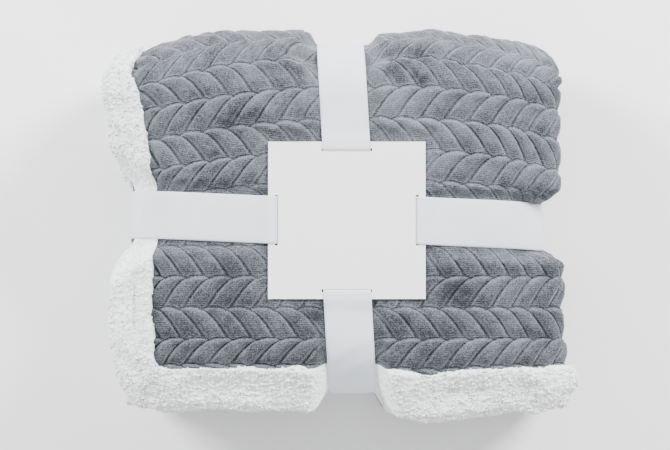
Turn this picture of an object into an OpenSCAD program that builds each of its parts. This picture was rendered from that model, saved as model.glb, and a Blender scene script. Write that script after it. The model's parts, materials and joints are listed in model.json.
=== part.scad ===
/* [Throw] */
// Cut length of the throw, folded in four along X
throw_length = 1500; // [1200:10:2000]
// Cut width of the throw, folded in four along Y
throw_width = 1200; // [1000:10:1600]
// Width of the sherpa hem that is turned over onto the face
hem_w = 40; // [30:1:70]
// Face cloth that is caught under the turned hem
seam_allowance = 12; // [6:1:20]

/* [Cloth] */
// Thickness of the embossed plush face in the fold
face_t = 2.6; // [1.6:0.1:4]
// Thickness of the sherpa backing in the fold
back_t = 4; // [2:0.1:6]
// Thickness of the face cloth where the hem pins it down
seam_t = 1; // [0.6:0.1:1.4]
// Free gap between two folded plies
ply_gap = 0.3; // [0.2:0.05:0.8]

/* [Stitching] */
// Diameter of the sewing thread
thread_d = 0.5; // [0.3:0.1:1]
// Distance from one needle hole to the next
stitch_pitch = 4; // [2.5:0.5:6]
// Distance of the stitch row from the inner edge of the hem
stitch_inset = 4; // [2:0.5:8]
// Depth of the stitch row below the hem's surface, in the pile
stitch_depth = 1.3; // [0.8:0.1:2]

/* [Ribbons] */
// Width of the satin ribbon
ribbon_w = 38; // [20:1:50]
// Place of the ribbons' crossing along X, from the middle of the pack
crossing_x = 6; // [-20:1:20]
// Place of the ribbons' crossing along Y, from the middle of the pack
crossing_y = 3; // [-20:1:20]
// Thickness of the satin ribbon
ribbon_t = 0.3; // [0.15:0.05:0.5]
// How far the ribbon along X pulls in the left side
waist_left = 19; // [5:1:30]
// How far the ribbon along X pulls in the right side
waist_right = 24; // [5:1:30]
// How far the ribbon along Y pulls in the front side
waist_front = 22; // [5:1:30]
// How far the ribbon along Y pulls in the back side
waist_back = 9; // [5:1:30]
// Radius of the ribbon's turn over each edge of the pack
waist_radius = 48; // [30:1:50]
// How far each ribbon sinks into the plush, above and below
sink = 1.2; // [1.2:0.1:2]
// Length over which the two ends of a ribbon overlap
lap_length = 30; // [20:1:60]
// Distance of each overlap from the middle of the underside
lap_offset = 80; // [60:1:100]
// Thickness of the double-sided tape in each overlap
tape_t = 0.08; // [0.05:0.01:0.1]
// Bare rim of the overlap round the tape
tape_margin = 3; // [1:0.5:8]

/* [Card] */
// Side of the square card
card_side = 125; // [90:1:160]
// Thickness of the card
card_t = 0.45; // [0.3:0.05:0.8]
// Distance from the card's edge to the middle of a slot
slot_inset = 6.5; // [5:0.5:10]
// Width of a slot
slot_w = 2.6; // [2.6:0.1:4]
// Room beyond the ribbon at each end of a slot
slot_room = 1.2; // [0.5:0.1:3]
// How far past the card's edge the ribbon lies level before it comes down
edge_room = 1; // [0.5:0.5:4]
// Length over which the ribbon comes down from the card to the plush
ramp = 8; // [4:1:20]

/* [Care label] */
// Width of the care label
label_w = 25; // [15:1:40]
// Length of the part that hangs out of the hem
label_drop = 11; // [8:1:12]
// Thickness of the folded label
label_t = 0.5; // [0.3:0.1:0.8]
// Distance of the label from the start of the big fold at the back
label_gap = 5; // [1:1:40]
// Length of the label that is sewn in between the plies
label_tab = 9; // [6:1:15]

/* [Hidden] */
$fn = 48;
eps = 0.01;
// Clearance where a loose piece lies beside a fixed one
loose = 0.05;

// One ply of cloth, and the step from one ply to the next
ply_t = face_t + back_t;
ply = ply_t + ply_gap;
// Four plies make a stack, and four stacks make the pack
stack = 4 * ply;
top = 4 * stack - ply_gap;
// Folded size: a quarter of the cut, and what the round folds add
fold_share = 2.5 - 0.625 * PI;
pack_x = throw_length / 4 + fold_share * ply;
pack_y = throw_width / 4 + fold_share * stack;
// The label stands this far out of the left side, and the whole is centred on X
label_out = loose + label_t;
left = -pack_x / 2 + label_out / 2;
right = left + pack_x;
front = -pack_y / 2;
back = pack_y / 2;
// Middle of the round folds at the right, left, back and front
turn_right = right - 2 * ply + ply_gap / 2;
turn_left = left + ply - ply_gap / 2;
turn_back = back - 2 * stack + ply_gap / 2;
turn_front = front + stack - ply_gap / 2;
// Heights at which a ribbon lies, from its inner face
cross_high = top - sink;
cross_low = sink + ply_gap;
long_high = cross_high + ribbon_t + loose;
long_low = cross_low - ribbon_t - loose;
// The card lies on the plush, over both ribbons
card_z = max(top, long_high + ribbon_t) + loose;
over_card = card_z + card_t + loose;
slot_at = card_side / 2 - slot_inset;
slot_length = ribbon_w + 2 * slot_room;
// Half of the slot's width that the sloping ribbon takes up
slot_run = slot_w / 2 - ribbon_t - 6 * loose;
// Step of a ribbon's lower end down to its overlap
lap_step = 4;
// Room round the pack for the cutting shapes
spare = 60;
label_y = turn_back - label_w / 2 - label_gap;
label_z = 2 * ply - ply_gap;

// Ring sector on the right (side = 1) or the left (side = -1) of its middle
module half_ring(inner, outer, side) {
    intersection() {
        difference() {
            circle(r = outer);
            circle(r = inner);
        }
        translate([side > 0 ? 0 : -outer, -outer]) square([outer, 2 * outer]);
    }
}

// Straight strip of one ply, from height low to high
module strip(from, to, low, high) {
    translate([from, low]) square([to - from, high - low]);
}

// Section of the four-ply stack: the layer between depths a and b, counted from the face's pile
module ply_layer(a, b, start) {
    half = ply_gap / 2;
    strip(start, turn_right, stack - half - b, stack - half - a);
    strip(start, turn_right, 2 * ply + half + a, 2 * ply + half + b);
    strip(turn_left, turn_right, 2 * ply - half - b, 2 * ply - half - a);
    strip(turn_left, turn_right, half + a, half + b);
    translate([turn_right, 2 * ply]) {
        half_ring(2 * ply - half - b, 2 * ply - half - a, 1);
        half_ring(half + a, half + b, 1);
    }
    translate([turn_left, ply]) half_ring(ply - half - b, ply - half - a, -1);
}

// The two plies that end in a hem at the left, from there to x
module hem_plies(x) {
    for (middle = [stack - ply / 2, stack - 1.5 * ply]) {
        strip(left + ply_t / 2, x, middle - ply_t / 2, middle + ply_t / 2);
        translate([left + ply_t / 2, middle]) circle(d = ply_t);
    }
}

// Edge of the face cloth that is caught in the hem
module seam_tongue() {
    intersection() {
        ply_layer(face_t - seam_t / 2, face_t + seam_t / 2, left + hem_w - seam_allowance);
        strip(left, left + hem_w + eps, 2 * ply, stack);
    }
}

module face_section() {
    ply_layer(0, face_t, left + hem_w);
    seam_tongue();
}

module back_section() {
    difference() {
        union() {
            ply_layer(face_t, ply_t, left + hem_w);
            hem_plies(left + hem_w);
        }
        seam_tongue();
    }
}

// Section of the stack where it is sherpa through and through, in the front hem
module hem_section() {
    ply_layer(0, ply_t, left + hem_w);
    hem_plies(left + hem_w + eps);
}

// Face cloth that is caught in the front hem
module seam_section() {
    ply_layer(face_t - seam_t / 2, face_t + seam_t / 2, left + hem_w - seam_allowance);
}

// Runs a stack section straight along Y, the right way up or upside down
module run(y0, y1, z, flipped) {
    translate([0, y1, z - ply_gap / 2]) rotate([90, 0, 0]) linear_extrude(y1 - y0)
        mirror([0, flipped ? 1 : 0]) children();
}

// Turns a stack section half round a fold, side = 1 at the back and -1 at the front
module turn(y, z, offset, inward, side) {
    translate([0, y, z - ply_gap / 2]) rotate([0, 90, 0]) rotate([0, 0, side > 0 ? 0 : 180])
        rotate_extrude(angle = 180) translate([offset, 0]) mirror([inward ? 1 : 0, 0])
            mirror([1, -1]) children();
}

// The whole cloth path along Y: two free ends at the front, folds at the back and at the front
module folded(start) {
    run(start, turn_back, 3 * stack, false) children();
    run(start, turn_back, 3 * stack, true) children();
    run(turn_front, turn_back, stack, false) children();
    run(turn_front, turn_back, stack, true) children();
    turn(turn_back, 2 * stack, stack, false, 1) children();
    turn(turn_back, 2 * stack, stack, true, 1) children();
    turn(turn_front, stack, 0, false, -1) children();
}

// The two free stacks only, in the front hem
module free_ends(y0, y1) {
    run(y0, y1, 3 * stack, false) children();
    run(y0, y1, 3 * stack, true) children();
}

// Rounded rectangle from corner to corner
module rounded(low, high, r) {
    translate([low[0] + r, low[1]]) square([high[0] - low[0] - 2 * r, high[1] - low[1]]);
    translate([low[0], low[1] + r]) square([high[0] - low[0], high[1] - low[1] - 2 * r]);
    for (x = [low[0] + r, high[0] - r], z = [low[1] + r, high[1] - r])
        translate([x, z]) circle(r = r, $fn = 96);
}

// Space that a ribbon presses out of the pack: a band of its width, outside its loop
module waist(from, to, low, high, width) {
    rotate([90, 0, 0]) translate([0, 0, -width / 2]) linear_extrude(width) difference() {
        translate([from - spare, -spare]) square([to - from + 2 * spare, top + 2 * spare]);
        rounded([from + loose, low + loose], [to - loose, high - loose], waist_radius);
    }
}

// Places what is drawn along X at the ribbon that runs along X, or along Y
module across() {
    translate([0, crossing_y, 0]) children();
}

module along() {
    translate([crossing_x, 0, 0]) rotate([0, 0, 90]) children();
}

module waists() {
    width = ribbon_w + 2 * loose;
    across() waist(left + waist_left, right - waist_right, cross_low, cross_high, width);
    along() waist(front + waist_front, back - waist_back, long_low, long_high, width);
}

module plush_face() {
    color("slategray") difference() {
        union() {
            folded(front + hem_w) face_section();
            free_ends(front + hem_w - seam_allowance, front + hem_w) seam_section();
        }
        waists();
    }
}

module sherpa_backing() {
    color("whitesmoke") difference() {
        union() {
            folded(front + hem_w) back_section();
            free_ends(front, front + hem_w) hem_section();
        }
        free_ends(front + hem_w - seam_allowance, front + hem_w + eps) seam_section();
        waists();
    }
}

// One lockstitch: a short length of thread with its two ends down the needle holes
module stitch() {
    length = stitch_pitch - 2 * thread_d;
    rotate([0, 90, 0]) cylinder(d = thread_d, h = length, center = true, $fn = 16);
    for (x = [-length / 2, length / 2])
        translate([x, 0, -2 * thread_d]) cylinder(d = thread_d, h = 2 * thread_d, $fn = 16);
}

// Row of stitches along X that leaves out a gap of the given width round the middle
module stitch_row(from, to, middle, gap) {
    count = floor((to - from) / stitch_pitch);
    for (i = [0 : count - 1]) {
        x = from + (i + 0.5) * stitch_pitch;
        if (abs(x - middle) > gap / 2 + stitch_pitch) translate([x, 0, 0]) stitch();
    }
}

stitch_z = top - stitch_depth;
hem_edge_x = left + hem_w - stitch_inset;
hem_edge_y = front + hem_w - stitch_inset;

module side_hem_stitching() {
    color("ivory") translate([hem_edge_x, 0, stitch_z]) rotate([0, 0, 90])
        stitch_row(hem_edge_y + stitch_pitch, turn_back, crossing_y, ribbon_w);
}

module front_hem_stitching() {
    color("ivory") translate([0, hem_edge_y, stitch_z])
        stitch_row(hem_edge_x + stitch_pitch, turn_right, crossing_x, ribbon_w);
}

module corner_stitching() {
    reach = hem_w - stitch_inset - 2 * stitch_pitch;
    color("ivory") translate([hem_edge_x, hem_edge_y, stitch_z]) rotate([0, 0, 45])
        stitch_row(-reach, -stitch_pitch, reach, 0);
}

function arc(x, z, r, from, to, n = 24) =
    [for (i = [0 : n]) let (a = from + (to - from) * i / n) [x + r * cos(a), z + r * sin(a)]];

// Unit normal on the right of the way from p to q
function beside(p, q) = let (d = q - p) [d[1], -d[0]] / norm(d);

// The path moved sideways by t at every point, with mitred corners
function moved(path, t) = [for (i = [0 : len(path) - 1])
    let (n = len(path) - 1,
         a = beside(path[max(i - 1, 0)], path[max(i, 1)]),
         b = beside(path[min(i, n - 1)], path[min(i + 1, n)]),
         m = a + b)
    path[i] + m * (2 * t / (m * m))];

// Half of a ribbon's run over the card, from the slot outwards, as [distance, height]
function threading(low) = let (edge = card_side / 2 + edge_room)
    [[slot_at - slot_run, low], [slot_at + slot_run, over_card], [edge, over_card], [edge + ramp, low]];

function reversed(points) = [for (i = [len(points) - 1 : -1 : 0]) points[i]];
function flipped(points) = [for (p = points) [-p[0], p[1]]];
function shifted(points, x) = [for (p = points) [p[0] + x, p[1]]];

// Inner face of a ribbon from its lower end, round the pack and back over that end
function ribbon_path(from, to, middle, low, high) = let (r = waist_radius, drop = ribbon_t + tape_t)
    concat(
        [[lap_offset - lap_length, low - drop], [lap_offset, low - drop], [lap_offset + lap_step, low]],
        arc(to - r, low + r, r, -90, 0), arc(to - r, high - r, r, 0, 90),
        shifted(concat(reversed(threading(high)), flipped(threading(high))), middle),
        arc(from + r, high - r, r, 90, 180), arc(from + r, low + r, r, 180, 270),
        [[lap_offset - lap_step / 4, low]]);

module ribbon(from, to, middle, low, high) {
    path = ribbon_path(from, to, middle, low, high);
    rotate([90, 0, 0]) translate([0, 0, -ribbon_w / 2]) linear_extrude(ribbon_w)
        polygon(concat(path, reversed(moved(path, ribbon_t))));
}

module ribbon_tape(low) {
    translate([lap_offset - lap_length + tape_margin, tape_margin - ribbon_w / 2, low - ribbon_t - tape_t])
        cube([lap_length - lap_step / 4 - 2 * tape_margin, ribbon_w - 2 * tape_margin, tape_t]);
}

module cross_ribbon() {
    color("white") across()
        ribbon(left + waist_left, right - waist_right, crossing_x, cross_low, cross_high);
}

module long_ribbon() {
    color("white") along()
        ribbon(front + waist_front, back - waist_back, crossing_y, long_low, long_high);
}

module cross_ribbon_tape() {
    color("wheat") across() ribbon_tape(cross_low);
}

module long_ribbon_tape() {
    color("wheat") along() ribbon_tape(long_low);
}

// Slot for a ribbon, with a round relief at each end
module slot() {
    square([slot_w, slot_length - slot_w], center = true);
    for (y = [-1, 1]) translate([0, y * (slot_length - slot_w) / 2]) circle(d = slot_w);
}

module insert_card() {
    color("white") translate([crossing_x, crossing_y, card_z]) linear_extrude(card_t) difference() {
        square(card_side, center = true);
        for (a = [0 : 90 : 270]) rotate(a) translate([slot_at, 0]) slot();
    }
}

module care_label_tab() {
    color("white") translate([left - label_t, label_y - label_w / 2, label_z + ply_gap / 4])
        cube([label_t + label_tab, label_w, ply_gap / 2]);
}

module care_label() {
    color("white") translate([left - label_out, label_y - label_w / 2, label_z - label_drop])
        cube([label_t, label_w, label_drop]);
}

plush_face();
sherpa_backing();
side_hem_stitching();
front_hem_stitching();
corner_stitching();
cross_ribbon();
long_ribbon();
cross_ribbon_tape();
long_ribbon_tape();
insert_card();
care_label_tab();
care_label();
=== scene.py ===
"""A folded plush throw with a sherpa backing, tied both ways with ribbons that are threaded through a
card."""

import json
from math import cos, pi, radians, sin, tan

import bpy
import numpy as np
from bpy.props import FloatProperty, FloatVectorProperty, IntProperty, PointerProperty
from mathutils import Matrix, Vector

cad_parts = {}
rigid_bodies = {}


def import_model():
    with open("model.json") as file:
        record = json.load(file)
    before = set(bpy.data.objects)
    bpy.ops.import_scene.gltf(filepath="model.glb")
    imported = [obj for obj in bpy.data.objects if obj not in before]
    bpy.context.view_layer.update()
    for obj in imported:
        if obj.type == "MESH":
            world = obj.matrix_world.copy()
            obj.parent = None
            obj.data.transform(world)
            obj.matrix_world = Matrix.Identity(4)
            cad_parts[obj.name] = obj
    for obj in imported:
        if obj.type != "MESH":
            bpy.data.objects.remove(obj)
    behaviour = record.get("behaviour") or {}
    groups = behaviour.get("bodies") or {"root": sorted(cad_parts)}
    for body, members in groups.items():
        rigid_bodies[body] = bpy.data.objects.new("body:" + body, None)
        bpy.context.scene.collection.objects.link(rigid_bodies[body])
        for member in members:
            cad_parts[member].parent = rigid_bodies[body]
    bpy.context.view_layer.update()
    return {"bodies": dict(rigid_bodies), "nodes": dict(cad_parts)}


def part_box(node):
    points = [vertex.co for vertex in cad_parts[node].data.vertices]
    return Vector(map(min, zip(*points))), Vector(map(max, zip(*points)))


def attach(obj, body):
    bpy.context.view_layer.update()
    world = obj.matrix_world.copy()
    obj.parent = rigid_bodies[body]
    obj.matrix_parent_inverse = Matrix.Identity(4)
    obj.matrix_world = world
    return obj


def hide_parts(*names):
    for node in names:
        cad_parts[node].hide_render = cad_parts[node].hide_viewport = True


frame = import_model()

bl_info = {
    "name": "Folded Throw Maker",
    "version": (1, 0, 0),
    "blender": (4, 5, 0),
    "location": "View3D > Sidebar > Throw",
    "description": "Builds the cloth, hems, ribbons and card of a folded plush throw round its packed frame",
    "category": "Add Mesh",
}

PACK_LOW, PACK_HIGH = (np.array(c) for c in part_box("sherpa_backing"))
CARD_LOW, CARD_HIGH = (np.array(c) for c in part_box("insert_card"))
CROSS_LOW, CROSS_HIGH = (np.array(c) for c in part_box("cross_ribbon"))
LONG_LOW, LONG_HIGH = (np.array(c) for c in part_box("long_ribbon"))
LABEL_LOW, LABEL_HIGH = (np.array(c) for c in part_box("care_label"))
BODY = next(iter(frame["bodies"]))

# The fold as it leaves the frame: sixteen plies in four stacks
HEIGHT = PACK_HIGH[2] - PACK_LOW[2]
STACK = HEIGHT / 4
PLY = STACK / 4
LEFT, RIGHT = PACK_LOW[0], PACK_HIGH[0]
FRONT, BACK = PACK_LOW[1], PACK_HIGH[1]
TURN_RIGHT = RIGHT - STACK / 2
TURN_LEFT = LEFT + PLY
TURN_BACK = BACK - 2 * STACK
TURN_FRONT = FRONT + STACK
CARD_MID = (CARD_LOW + CARD_HIGH) / 2
CARD_HALF = (CARD_HIGH[0] - CARD_LOW[0]) / 2
SLOT = CARD_HALF - 0.0065

# Where the sheets end out of sight, under the fold at the right
HIDDEN_END = TURN_RIGHT + pi * STACK / 2 + 0.012

# Lengths of the four stacks and of the turns between them, in the order of the fold
TOP_RUN = TURN_BACK - FRONT
LOW_RUN = TURN_BACK - TURN_FRONT
OUTER_TURN = 2 * pi * STACK
FRONT_TURN = pi * STACK
INNER_TURN = pi * STACK / 2
SEGMENTS = np.cumsum([0, TOP_RUN, OUTER_TURN, LOW_RUN, FRONT_TURN, LOW_RUN, INNER_TURN, TOP_RUN])


# ---------------------------------------------------------------- arrays


def ease(x):
    """Smooth step: 0 below 0, 1 above 1, 3x^2 - 2x^3 between."""
    x = np.clip(x, 0, 1)
    return x * x * (3 - 2 * x)


def through(x, points):
    """A line that eases from each (place, value) to the next."""
    places, values = np.array(points).T
    i = np.clip(np.searchsorted(places, x) - 1, 0, len(places) - 2)
    share = (x - places[i]) / (places[i + 1] - places[i])
    return values[i] + (values[i + 1] - values[i]) * ease(share)


def chance(i, j, seed):
    """A fixed random number from 0 to 1 for each pair of whole numbers: the fraction of a large sine."""
    return np.modf(np.abs(np.sin(i * 127.1 + j * 311.7 + seed * 74.7) * 43758.5453))[0]


def wander(a, b, size, seed):
    """Value noise from -1 to 1: random numbers on a square lattice of the given size, eased between."""
    a, b = a / size, b / size
    i, j = np.floor(a), np.floor(b)
    u, v = ease(a - i), ease(b - j)
    low = chance(i, j, seed) * (1 - u) + chance(i + 1, j, seed) * u
    high = chance(i, j + 1, seed) * (1 - u) + chance(i + 1, j + 1, seed) * u
    return 2 * (low * (1 - v) + high * v) - 1


def clumps(a, b, size, seed):
    """Cell noise: 1 at the middle of each clump, falling as a circle does to 0 between clumps."""
    a, b = a / size, b / size
    i, j = np.floor(a), np.floor(b)
    near = np.full(np.shape(a), 9.0)
    for di in (-1, 0, 1):
        for dj in (-1, 0, 1):
            x = i + di + 0.15 + 0.7 * chance(i + di, j + dj, seed)
            y = j + dj + 0.15 + 0.7 * chance(i + di, j + dj, seed + 5)
            near = np.minimum(near, (x - a) ** 2 + (y - b) ** 2)
    return np.sqrt(np.clip(1 - near, 0, 1))


def normals(points):
    """Unit normals of a grid of points: the cross product of its two gradients."""
    n = np.cross(np.gradient(points, axis=0), np.gradient(points, axis=1))
    return n / np.maximum(np.linalg.norm(n, axis=2, keepdims=True), 1e-12)


def grid(first, second):
    """Two arrays of parameters, as a grid that is indexed first, second."""
    return np.meshgrid(first, second, indexing="ij")


def steps(start, end, size):
    """Even steps from start to end, each about the given size."""
    return np.linspace(start, end, max(2, int(round(abs(end - start) / size)) + 1))


# ---------------------------------------------------------------- the fold


def folded(v, h):
    """Place (y, z) of the point at the distance v along the fold and the height h in its stack.

    v runs back along the top, round the outer turn, forward along the bottom, round the front turn,
    back, round the inner turn and forward again. h is 0 on a stack's inner face and the stack's height
    on its outer face.
    """
    v, h = np.broadcast_arrays(v, h)
    y, z = FRONT + v, 3 * STACK + h
    s = SEGMENTS
    turns = (
        (s[1], s[2], TURN_BACK, 2 * STACK, STACK + h, 1, 1),
        (s[3], s[4], TURN_FRONT, STACK, h, -1, -1),
        (s[5], s[6], TURN_BACK, 2 * STACK, STACK - h, 1, -1),
    )
    runs = (
        (s[2], TURN_BACK, -1, STACK - h),
        (s[4], TURN_FRONT, 1, STACK + h),
        (s[6], TURN_BACK, -1, 3 * STACK - h),
    )
    for start, y0, way, level in runs:
        on = v >= start
        y, z = np.where(on, y0 + way * (v - start), y), np.where(on, level, z)
    for start, end, y0, z0, radius, side, way in turns:
        on = (v >= start) & (v < end)
        a = (v - start) / (end - start) * pi
        y = np.where(on, y0 + side * radius * np.sin(a), y)
        z = np.where(on, z0 + way * radius * np.cos(a), z)
    return y, z


def skin(x, v, e=0.0):
    """Place of a point on the outer skin: x across, round the fold at the right and back under it, v
    along the fold, and e above the cloth."""
    r = STACK / 2 + e
    a = np.clip((x - TURN_RIGHT) / (STACK / 2), 0, pi)
    under = np.maximum(x - TURN_RIGHT - pi * STACK / 2, 0)
    across = np.minimum(x, TURN_RIGHT) + r * np.sin(a) - under
    y, z = folded(v, STACK / 2 + r * np.cos(a))
    return np.stack([np.broadcast_to(across, y.shape), y, z], axis=-1)


# How far each side of the pack wanders from its straight line, by the place along the side
DRIFT_LEFT = [(-0.155, 0.019), (-0.125, 0.0125), (-0.10, 0.0078), (-0.07, 0.0055), (-0.04, 0.0055),
              (-0.02, 0.001), (0.02, 0.001), (0.04, 0.005), (0.06, 0.0078), (0.085, 0.002), (0.11, 0),
              (0.135, 0), (0.155, 0.006)]
DRIFT_RIGHT = [(-0.15, -0.010), (-0.135, -0.004), (-0.118, -0.007), (-0.105, -0.007), (-0.06, -0.011),
               (0.03, -0.0125), (0.1, -0.012), (0.125, -0.0105), (0.145, -0.013)]
DRIFT_BACK = [(-0.19, -0.018), (-0.168, -0.0135), (-0.145, -0.006), (-0.12, -0.001), (-0.09, 0.0025),
              (-0.03, 0.004), (0.01, 0.003), (0.03, 0.0), (0.05, 0.001), (0.075, 0.004), (0.11, -0.0005),
              (0.14, -0.006), (0.165, -0.009), (0.18, -0.013)]
DRIFT_FRONT = [(-0.18, 0.0135), (-0.14, 0.0100), (-0.04, 0.0082), (0.0, 0.005), (0.03, 0.003), (0.07, 0.001),
               (0.11, 0.006), (0.14, 0.0085), (0.16, 0.006), (0.185, 0.011)]
RIM = 0.075
SWAY = 0.002
RIPPLE = 0.0012
CROWN = 0.003
DROOP = 0.008
SLOPE = 0.0045


def settled(p):
    """The pack's own unevenness: its sides wander, its middle stands up and its rims sink under their
    own weight."""
    x, y, z = p[..., 0], p[..., 1], p[..., 2]
    level = z / HEIGHT
    left = ease((LEFT + RIM - x) / RIM)
    right = ease((x - RIGHT + RIM) / RIM)
    back = ease((y - BACK + RIM) / RIM)
    front = ease((FRONT + RIM - y) / RIM)
    sway = SWAY * wander(y, z, 0.045, 3)
    dx = left * (through(y, DRIFT_LEFT) + sway) + right * (through(y, DRIFT_RIGHT) + sway)
    lean = SWAY * wander(x, z, 0.05, 8)
    dy = back * (through(x, DRIFT_BACK) + lean) + front * (through(x, DRIFT_FRONT) + lean)
    dx, dy = dx + SLOPE * left * (1 - level), dy + SLOPE * front * (1 - level)
    near = np.maximum.reduce([left, right, 0.5 * back, front]) ** 2
    rise = CROWN * (1 - near) - DROOP * near + RIPPLE * wander(x, y, 0.06, 21)
    return np.stack([x + dx, y + dy, z * (1 + rise / HEIGHT * ease(level * 4))], axis=-1)


def reach(distance, direction):
    """How far to go in a direction to cover a distance along its axis, or a metre where it hardly leads
    there."""
    leads = np.abs(direction) > 0.02
    return np.where(leads, distance / np.where(leads, direction, 1), 1.0)


class Band:
    """A ribbon's loop round the pack: a rounded rectangle in the plane of its run, and the line it
    follows in plan."""

    RADIUS = 0.048
    HALF = (CROSS_HIGH[1] - CROSS_LOW[1]) / 2
    SOFT = 0.03
    SINK = 0.001
    WALL_INSET = 0.008
    CROWD = 0.0022
    LIP = 0.0012
    REACH = 0.009

    def __init__(self, axis, low, high, sunk_low, sunk_high, lean, spread):
        self.axis, self.other = axis, 1 - axis
        self.from_, self.to = low[axis], high[axis]
        self.low, self.high = sunk_low, sunk_high
        self.line = (low[self.other] + high[self.other]) / 2
        self.lean, self.spread = lean, spread
        self.rims = (PACK_LOW[axis], PACK_HIGH[axis])

    def off_line(self, p):
        """Distance in plan from the ribbon's middle line, which leans a little on the upper side only."""
        up = ease((p[..., 2] - HEIGHT * 0.35) / (HEIGHT * 0.4))
        return p[..., self.other] - self.line - self.shift(p[..., self.axis]) * up

    def shift(self, a):
        """How far the ribbon has moved sideways at the place a: little between the slots, more beyond
        them."""
        far = a - CARD_MID[self.axis]
        near = np.clip(far, -SLOT, SLOT)
        return tan(self.lean) * (0.1 * near + 1.35 * (far - near))

    def squeeze(self, p):
        """Presses what lies outside the loop down to it: wholly below the ribbon, less and less beside it.

        The distance outside the loop is compressed so that layers keep their order, and the cloth
        beside the ribbon crowds towards it.
        """
        a, z, r, soft = p[..., self.axis], p[..., 2], self.RADIUS, self.SOFT
        a0 = np.clip(a, self.from_ + r, self.to - r)
        z0 = np.clip(z, self.low + r, self.high - r)
        out = np.stack([a - a0, z - z0], axis=-1)
        far = np.linalg.norm(out, axis=-1)
        n = out / np.maximum(far, 1e-9)[..., None]
        outside = far - r
        wall = np.where(n[..., 0] > 0, self.rims[1] - self.WALL_INSET, self.rims[0] + self.WALL_INSET)
        roof = np.where(n[..., 1] > 0, HEIGHT, 0)
        free = np.maximum(np.minimum(reach(wall - a0, n[..., 0]), reach(roof - z0, n[..., 1])) - r, 0.0005)
        power = (free + soft) / soft
        u = np.clip((outside + soft) / (free + soft), 0, 1)
        inside = soft * (1 - (1 - u) ** power) - soft - self.SINK
        push = np.maximum(outside - inside, 0)
        side = self.off_line(p)
        crowd = self.CROWD * ease(free / soft)
        rim = np.where(n[..., 0] > 0, self.spread[1], self.spread[0])
        spread = 1 + (rim - 1) * ease(np.abs(n[..., 0]) * 1.4)
        width = self.REACH + spread * free * (1 + 0.25 * wander(a, np.zeros_like(a), 0.07, 31))
        gap = np.abs(side) - self.HALF - self.LIP + crowd
        w = 1 - ease(gap / width)
        w = np.where(gap > 0, w ** 0.8, 1)
        moved = p.copy()
        moved[..., self.axis] -= n[..., 0] * push * w
        moved[..., 2] -= n[..., 1] * push * w
        moved[..., self.other] -= np.sign(side) * 4 * w * (1 - w) * crowd * 1.2
        return moved, w


CROSS = Band(0, CROSS_LOW, CROSS_HIGH, 0.0015, HEIGHT - 0.0012, radians(-1.9), (1.0, 0.12))
LONG = Band(1, LONG_LOW, LONG_HIGH, 0.00115, HEIGHT - 0.00085, radians(-2.4), (0.3, 1.6))


def under_card(p):
    """Lays the plush below the card flat, easing off past its edges."""
    start, fade, clear = 0.001, 0.013, 0.0009
    past = np.maximum(np.abs(p[..., 0] - CARD_MID[0]), np.abs(p[..., 1] - CARD_MID[1])) - CARD_HALF
    w = (1 - ease((past - start) / fade)) * (p[..., 2] > HEIGHT * 0.9)
    flat = p.copy()
    flat[..., 2] -= w * np.maximum(p[..., 2] - CARD_LOW[2] + clear, 0)
    return flat, w


def placed(p):
    """Where a point of the loose fold lies in the tied pack, and how hard it is pressed there, from 0
    to 1."""
    q, cross = CROSS.squeeze(settled(p))
    q, along = LONG.squeeze(q)
    q, card = under_card(q)
    return q, np.maximum.reduce([cross, along, card])


# ---------------------------------------------------------------- surfaces


def leaf_tops(s, k, sizes):
    """How far the tops of row k's leaves stand over their row's line, from 0 at a groove to 1 at mid
    leaf."""
    lean = np.where(k % 2 == 0, 1.0, -1.0)
    c = (s - sizes.leaf_start - lean * sizes.leaf_run) / sizes.leaf_pitch
    c = c - np.floor(c)
    return (4 * c * (1 - c)) ** 0.6


def braid(s, t, sizes):
    """Relief of the embossed braid, from 0 in a groove to 1 on a leaf.

    Rows of leaves lie side by side and lean to and fro by turns. The arched tops of one row's leaves
    lie over the feet of the row above. A leaf's edge leaves the row's upper line almost level and drops
    away as a power of the distance below that line.
    """
    row = (t - sizes.row_start) / sizes.row_height
    k = np.floor(row)
    k = k - ((row - k) * sizes.row_height < sizes.arch * leaf_tops(s, k - 1, sizes))
    up = row - k
    head = (1 - up) * sizes.row_height + sizes.arch * leaf_tops(s, k, sizes)
    foot = up * sizes.row_height - sizes.arch * leaf_tops(s, k - 1, sizes)
    lean = np.where(k % 2 == 0, 1.0, -1.0)
    run = sizes.leaf_run * (1 - np.clip(1 - up, 0, 1) ** 0.62)
    c = (s - sizes.leaf_start - lean * run) / sizes.leaf_pitch
    c = c - np.floor(c)
    side = np.minimum(c, 1 - c) * sizes.leaf_pitch
    across = 1 - (1 - np.clip(side / 0.0065, 0, 1)) ** 2.2
    top = 1 - (1 - np.clip(head / 0.0055, 0, 1)) ** 2.2
    return across * top * (0.45 + 0.55 * ease(foot / 0.011))


def braid_place(p, v):
    """Where a point of the skin lies in the braid's own rows: the back rows bow down towards both sides."""
    x = p[..., 0] - 0.035
    y = FRONT + v
    bow = np.where(x < 0, 0.019 * (x / 0.195) ** 2, 0.014 * (x / 0.14) ** 2) - 0.0027
    return y + bow * ease((y + 0.03) / 0.08)


def sherpa(a, b, sizes, seed=0):
    """Relief of the sherpa pile, about -1 to 1: soft clumps, small curls on them, and slow rises and
    falls."""
    da, db = wander(a, b, 0.005, seed + 2), wander(a, b, 0.005, seed + 3)
    large = clumps(a + 0.0016 * da, b + 0.0016 * db, sizes.clump, seed + 11)
    small = clumps(a + 0.0008 * db, b - 0.0008 * da, sizes.clump * 0.45, seed + 12)
    slow = wander(a, b, sizes.clump * 2.6, seed + 14)
    return 0.7 * large + 0.4 * small + 0.5 * slow - 0.75


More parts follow.
